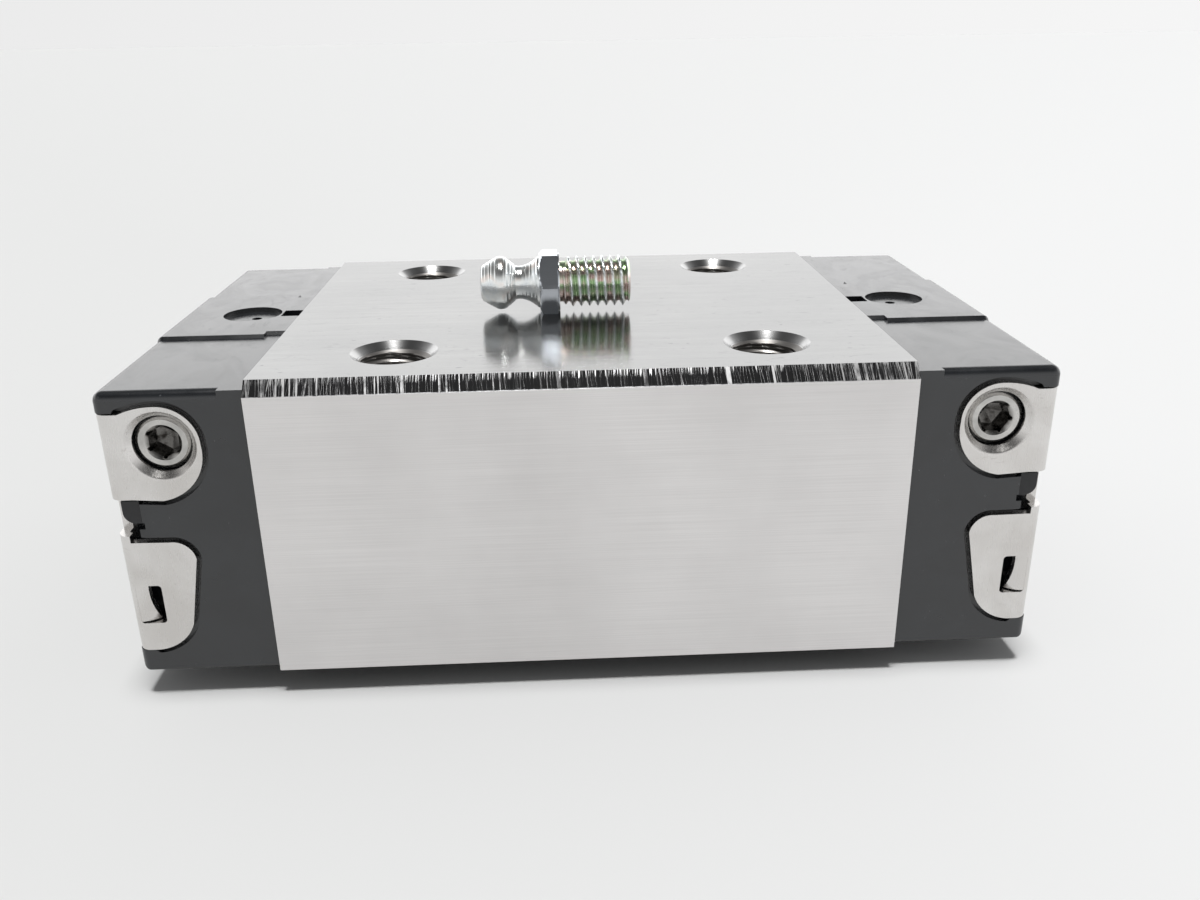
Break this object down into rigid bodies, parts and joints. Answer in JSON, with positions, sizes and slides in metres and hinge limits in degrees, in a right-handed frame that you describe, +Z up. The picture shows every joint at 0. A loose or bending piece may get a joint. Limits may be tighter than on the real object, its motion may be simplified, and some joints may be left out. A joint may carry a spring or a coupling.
{
  "type": "linear guide carriage",
  "caption": "Recirculating ball carriage of a profiled rail guide: ground steel block with tapped top holes, moulded end caps and a loose grease nipple.",
  "frame": {"origin": "centre of the footprint, on the plane of the lowest strips", "axes": "+X along the rail, +Y across the rail, +Z up out of the mounting face"},
  "size_m": [0.0976, 0.06, 0.0424],
  "materials": {
    "ground_steel": "ground, fine lines along the length",
    "bearing_steel": "hardened and ground",
    "ball_steel": "polished",
    "stainless": "satin rolled sheet",
    "plated_screw": "bright",
    "zinc_plate": "bright zinc plate",
    "seal_rubber": "matte",
    "oil_felt": "felt",
    "cap_plastic": "glass-filled, fine moulded grain",
    "inner_plastic": "plain"
  },
  "bodies": {
    "carriage": {"cap_screws_left": "plated_screw", "cap_screws_right": "plated_screw", "end_cap_left": "cap_plastic", "end_cap_right": "cap_plastic", "end_plate_left": "stainless", "end_plate_right": "stainless", "end_port_plug_left": "plated_screw", "end_port_plug_right": "plated_screw", "lower_ball_retainer_front": "inner_plastic", "lower_ball_retainer_rear": "inner_plastic", "oil_pads_left": "oil_felt", "oil_pads_right": "oil_felt", "raceway_insert_front": "bearing_steel", "raceway_insert_rear": "bearing_steel", "return_plate_left": "cap_plastic", "return_plate_right": "cap_plastic", "return_tube_front_lower": "inner_plastic", "return_tube_front_upper": "inner_plastic", "return_tube_rear_lower": "inner_plastic", "return_tube_rear_upper": "inner_plastic", "runner_body": "ground_steel", "seal_plate_left": "seal_rubber", "seal_plate_right": "seal_rubber", "side_port_plug_front_left": "plated_screw", "side_port_plug_front_right": "plated_screw", "side_port_plug_rear_left": "plated_screw", "side_port_plug_rear_right": "plated_screw", "side_seal_front": "seal_rubber", "side_seal_rear": "seal_rubber", "turn_guides_left": "inner_plastic", "turn_guides_right": "inner_plastic", "upper_ball_retainer_front": "inner_plastic", "upper_ball_retainer_rear": "inner_plastic"},
    "loaded_row_front_upper": {"loaded_balls_front_upper": "ball_steel"},
    "return_row_front_upper": {"return_balls_front_upper": "ball_steel"},
    "turn_front_upper_right": {"turn_balls_front_upper_right": "ball_steel"},
    "turn_front_upper_left": {"turn_balls_front_upper_left": "ball_steel"},
    "loaded_row_front_lower": {"loaded_balls_front_lower": "ball_steel"},
    "return_row_front_lower": {"return_balls_front_lower": "ball_steel"},
    "turn_front_lower_right": {"turn_balls_front_lower_right": "ball_steel"},
    "turn_front_lower_left": {"turn_balls_front_lower_left": "ball_steel"},
    "loaded_row_rear_upper": {"loaded_balls_rear_upper": "ball_steel"},
    "return_row_rear_upper": {"return_balls_rear_upper": "ball_steel"},
    "turn_rear_upper_right": {"turn_balls_rear_upper_right": "ball_steel"},
    "turn_rear_upper_left": {"turn_balls_rear_upper_left": "ball_steel"},
    "loaded_row_rear_lower": {"loaded_balls_rear_lower": "ball_steel"},
    "return_row_rear_lower": {"return_balls_rear_lower": "ball_steel"},
    "turn_rear_lower_right": {"turn_balls_rear_lower_right": "ball_steel"},
    "turn_rear_lower_left": {"turn_balls_rear_lower_left": "ball_steel"},
    "nipple": {"nipple_body": "zinc_plate", "nipple_spring": "ball_steel"},
    "nipple_valve": {"nipple_ball": "ball_steel"}
  },
  "joints": [
    {"name": "ball_circulation", "type": "slide", "parent": "carriage", "child": "loaded_row_front_upper", "axis": [1, 0, 0], "range_m": [-0.0025, 0.0025]},
    {"name": "return_run_front_upper", "type": "slide", "parent": "carriage", "child": "return_row_front_upper", "axis": [1, 0, 0], "range_m": [-0.0025, 0.0025]},
    {"name": "turn_run_front_upper_right", "type": "hinge", "parent": "carriage", "child": "turn_front_upper_right", "pos_m": [0.035, -0.01849, 0.01783], "axis": [0, -0.342, -0.9397], "range_deg": [-30, 30]},
    {"name": "turn_run_front_upper_left", "type": "hinge", "parent": "carriage", "child": "turn_front_upper_left", "pos_m": [-0.035, -0.01849, 0.01783], "axis": [0, -0.342, -0.9397], "range_deg": [-30, 30]},
    {"name": "loaded_run_front_lower", "type": "slide", "parent": "carriage", "child": "loaded_row_front_lower", "axis": [1, 0, 0], "range_m": [-0.0025, 0.0025]},
    {"name": "return_run_front_lower", "type": "slide", "parent": "carriage", "child": "return_row_front_lower", "axis": [1, 0, 0], "range_m": [-0.0025, 0.0025]},
    {"name": "turn_run_front_lower_right", "type": "hinge", "parent": "carriage", "child": "turn_front_lower_right", "pos_m": [0.035, -0.0187, 0.00743], "axis": [0, -0.1736, -0.9848], "range_deg": [-30, 30]},
    {"name": "turn_run_front_lower_left", "type": "hinge", "parent": "carriage", "child": "turn_front_lower_left", "pos_m": [-0.035, -0.0187, 0.00743], "axis": [0, -0.1736, -0.9848], "range_deg": [-30, 30]},
    {"name": "loaded_run_rear_upper", "type": "slide", "parent": "carriage", "child": "loaded_row_rear_upper", "axis": [1, 0, 0], "range_m": [-0.0025, 0.0025]},
    {"name": "return_run_rear_upper", "type": "slide", "parent": "carriage", "child": "return_row_rear_upper", "axis": [1, 0, 0], "range_m": [-0.0025, 0.0025]},
    {"name": "turn_run_rear_upper_right", "type": "hinge", "parent": "carriage", "child": "turn_rear_upper_right", "pos_m": [0.035, 0.01849, 0.01783], "axis": [0, -0.342, 0.9397], "range_deg": [-30, 30]},
    {"name": "turn_run_rear_upper_left", "type": "hinge", "parent": "carriage", "child": "turn_rear_upper_left", "pos_m": [-0.035, 0.01849, 0.01783], "axis": [0, -0.342, 0.9397], "range_deg": [-30, 30]},
    {"name": "loaded_run_rear_lower", "type": "slide", "parent": "carriage", "child": "loaded_row_rear_lower", "axis": [1, 0, 0], "range_m": [-0.0025, 0.0025]},
    {"name": "return_run_rear_lower", "type": "slide", "parent": "carriage", "child": "return_row_rear_lower", "axis": [1, 0, 0], "range_m": [-0.0025, 0.0025]},
    {"name": "turn_run_rear_lower_right", "type": "hinge", "parent": "carriage", "child": "turn_rear_lower_right", "pos_m": [0.035, 0.0187, 0.00743], "axis": [0, -0.1736, 0.9848], "range_deg": [-30, 30]},
    {"name": "turn_run_rear_lower_left", "type": "hinge", "parent": "carriage", "child": "turn_rear_lower_left", "pos_m": [-0.035, 0.0187, 0.00743], "axis": [0, -0.1736, 0.9848], "range_deg": [-30, 30]},
    {"name": "nipple_lift", "type": "slide", "parent": "carriage", "child": "nipple", "axis": [0, 0, 1], "range_m": [0, 0.03]},
    {"name": "nipple_check", "type": "slide", "parent": "nipple", "child": "nipple_valve", "axis": [1, 0, 0], "range_m": [0, 0.0006], "stiffness_N_per_m": 150, "springref_m": -0.0006, "deforming": ["nipple_spring"]}
  ],
  "couplings": [
    {"joint": "return_run_front_upper", "follows": "ball_circulation", "ratio": -1},
    {"joint": "turn_run_front_upper_right", "follows": "ball_circulation", "rad_per_m": 209.44},
    {"joint": "turn_run_front_upper_left", "follows": "ball_circulation", "rad_per_m": 209.44},
    {"joint": "loaded_run_front_lower", "follows": "ball_circulation", "ratio": 1},
    {"joint": "return_run_front_lower", "follows": "ball_circulation", "ratio": -1},
    {"joint": "turn_run_front_lower_right", "follows": "ball_circulation", "rad_per_m": 209.44},
    {"joint": "turn_run_front_lower_left", "follows": "ball_circulation", "rad_per_m": 209.44},
    {"joint": "loaded_run_rear_upper", "follows": "ball_circulation", "ratio": 1},
    {"joint": "return_run_rear_upper", "follows": "ball_circulation", "ratio": -1},
    {"joint": "turn_run_rear_upper_right", "follows": "ball_circulation", "rad_per_m": 209.44},
    {"joint": "turn_run_rear_upper_left", "follows": "ball_circulation", "rad_per_m": 209.44},
    {"joint": "loaded_run_rear_lower", "follows": "ball_circulation", "ratio": 1},
    {"joint": "return_run_rear_lower", "follows": "ball_circulation", "ratio": -1},
    {"joint": "turn_run_rear_lower_right", "follows": "ball_circulation", "rad_per_m": 209.44},
    {"joint": "turn_run_rear_lower_left", "follows": "ball_circulation", "rad_per_m": 209.44}
  ]
}
